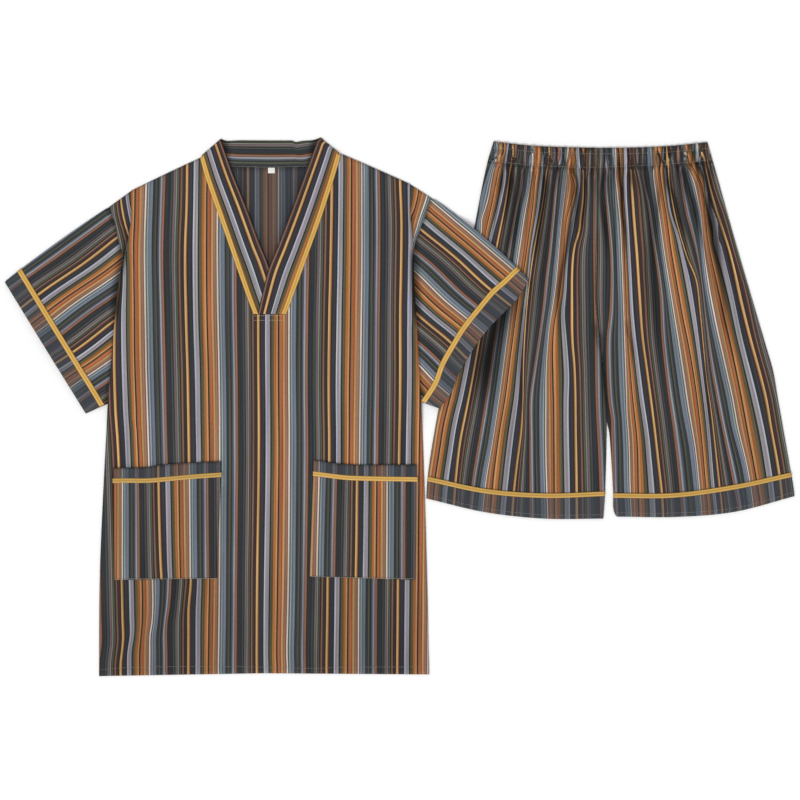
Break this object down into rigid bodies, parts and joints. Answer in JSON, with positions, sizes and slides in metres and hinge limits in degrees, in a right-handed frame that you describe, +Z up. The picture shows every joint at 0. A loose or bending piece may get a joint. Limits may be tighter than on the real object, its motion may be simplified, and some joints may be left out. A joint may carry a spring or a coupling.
{
  "type": "sauna suit",
  "caption": "Two-piece sauna suit laid flat: a V-neck short-sleeved top with patch pockets, and shorts with a gathered elastic waist.",
  "frame": {"origin": "middle of the laid-out set's outline, on the surface that it lies on", "axes": "+X from the top towards the shorts, +Y towards the neck and the waist, +Z up out of the surface"},
  "size_m": [1.1454, 0.7826, 0.0114],
  "materials": {
    "shirt_front": "woven in narrow stripes, matt",
    "shirt_back": "woven in narrow stripes, matt",
    "sleeve_left": "woven in narrow stripes, matt",
    "sleeve_right": "woven in narrow stripes, matt",
    "collar_band": "woven in narrow stripes, matt",
    "collar_tape_left": "satin ribbon, soft sheen",
    "collar_tape_right": "satin ribbon, soft sheen",
    "pocket_left": "woven in narrow stripes, matt",
    "pocket_right": "woven in narrow stripes, matt",
    "pocket_tape_left": "satin ribbon, soft sheen",
    "pocket_tape_right": "satin ribbon, soft sheen",
    "sleeve_tape_left": "satin ribbon, soft sheen",
    "sleeve_tape_right": "satin ribbon, soft sheen",
    "neck_label": "woven, matt, blank",
    "shorts_front_left": "woven in narrow stripes, matt",
    "shorts_front_right": "woven in narrow stripes, matt",
    "shorts_back_left": "woven in narrow stripes, matt",
    "shorts_back_right": "woven in narrow stripes, matt",
    "shorts_tape_left": "satin ribbon, soft sheen",
    "shorts_tape_right": "satin ribbon, soft sheen"
  },
  "bodies": {
    "root": {"shirt_front": "shirt_front", "shirt_back": "shirt_back", "sleeve_left": "sleeve_left", "sleeve_right": "sleeve_right", "collar_band": "collar_band", "collar_tape_left": "collar_tape_left", "collar_tape_right": "collar_tape_right", "pocket_left": "pocket_left", "pocket_right": "pocket_right", "pocket_tape_left": "pocket_tape_left", "pocket_tape_right": "pocket_tape_right", "sleeve_tape_left": "sleeve_tape_left", "sleeve_tape_right": "sleeve_tape_right", "neck_label": "neck_label", "shorts_front_left": "shorts_front_left", "shorts_front_right": "shorts_front_right", "shorts_back_left": "shorts_back_left", "shorts_back_right": "shorts_back_right", "shorts_tape_left": "shorts_tape_left", "shorts_tape_right": "shorts_tape_right"}
  },
  "joints": []
}
